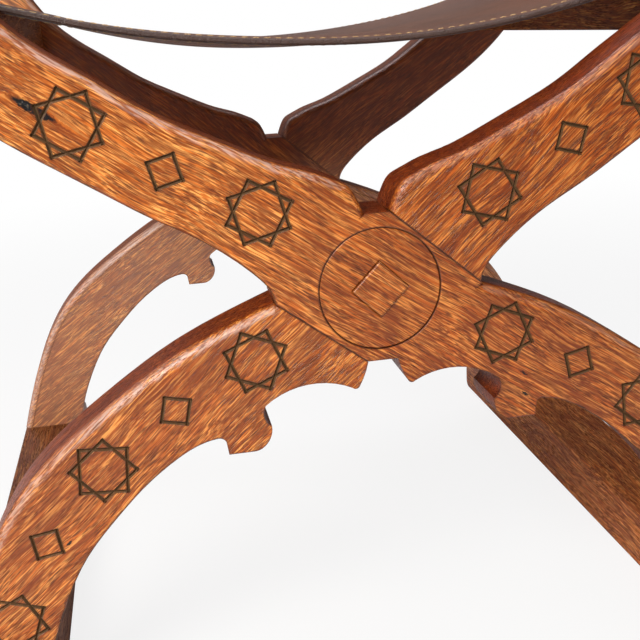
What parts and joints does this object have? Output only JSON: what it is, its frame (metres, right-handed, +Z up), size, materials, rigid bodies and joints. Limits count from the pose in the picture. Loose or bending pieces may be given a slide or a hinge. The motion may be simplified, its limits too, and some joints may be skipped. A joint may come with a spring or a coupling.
{
  "type": "x-frame armchair",
  "caption": "Armchair on two fixed crossed frames of carved S-shaped planks, with sled runners, arms, a slung leather seat and a leather back.",
  "frame": {"origin": "on the floor under the middle of the chair: the bottom centre of the whole chair's box", "axes": "+Z up, the front of the chair faces -Y, +X is to the right of someone looking at its front"},
  "size_m": [0.616, 0.583, 0.94],
  "materials": {
    "carved_planks": "satin varnish",
    "boss_wood": "satin varnish",
    "stretcher_wood": "satin varnish",
    "runner_wood": "satin varnish",
    "peg_wood": "satin varnish",
    "rail_wood": "satin varnish",
    "arm_wood": "satin varnish",
    "seat_and_back_leather": "waxed",
    "nail_brass": "polished"
  },
  "bodies": {
    "root": {"front_outer_member": "carved_planks", "front_inner_member": "carved_planks", "rear_outer_member": "carved_planks", "rear_inner_member": "carved_planks", "front_boss_disc": "boss_wood", "rear_boss_disc": "boss_wood", "crossing_stretcher": "stretcher_wood", "left_runner": "runner_wood", "right_runner": "runner_wood", "left_runner_pegs": "peg_wood", "right_runner_pegs": "peg_wood", "left_seat_rail": "rail_wood", "right_seat_rail": "rail_wood", "left_arm": "arm_wood", "right_arm": "arm_wood", "left_arm_pegs": "peg_wood", "right_arm_pegs": "peg_wood", "left_back_post": "arm_wood", "right_back_post": "arm_wood", "seat_leather": "seat_and_back_leather", "back_leather": "seat_and_back_leather", "left_seat_nails": "nail_brass", "right_seat_nails": "nail_brass", "left_back_nails": "nail_brass", "right_back_nails": "nail_brass"}
  },
  "joints": []
}
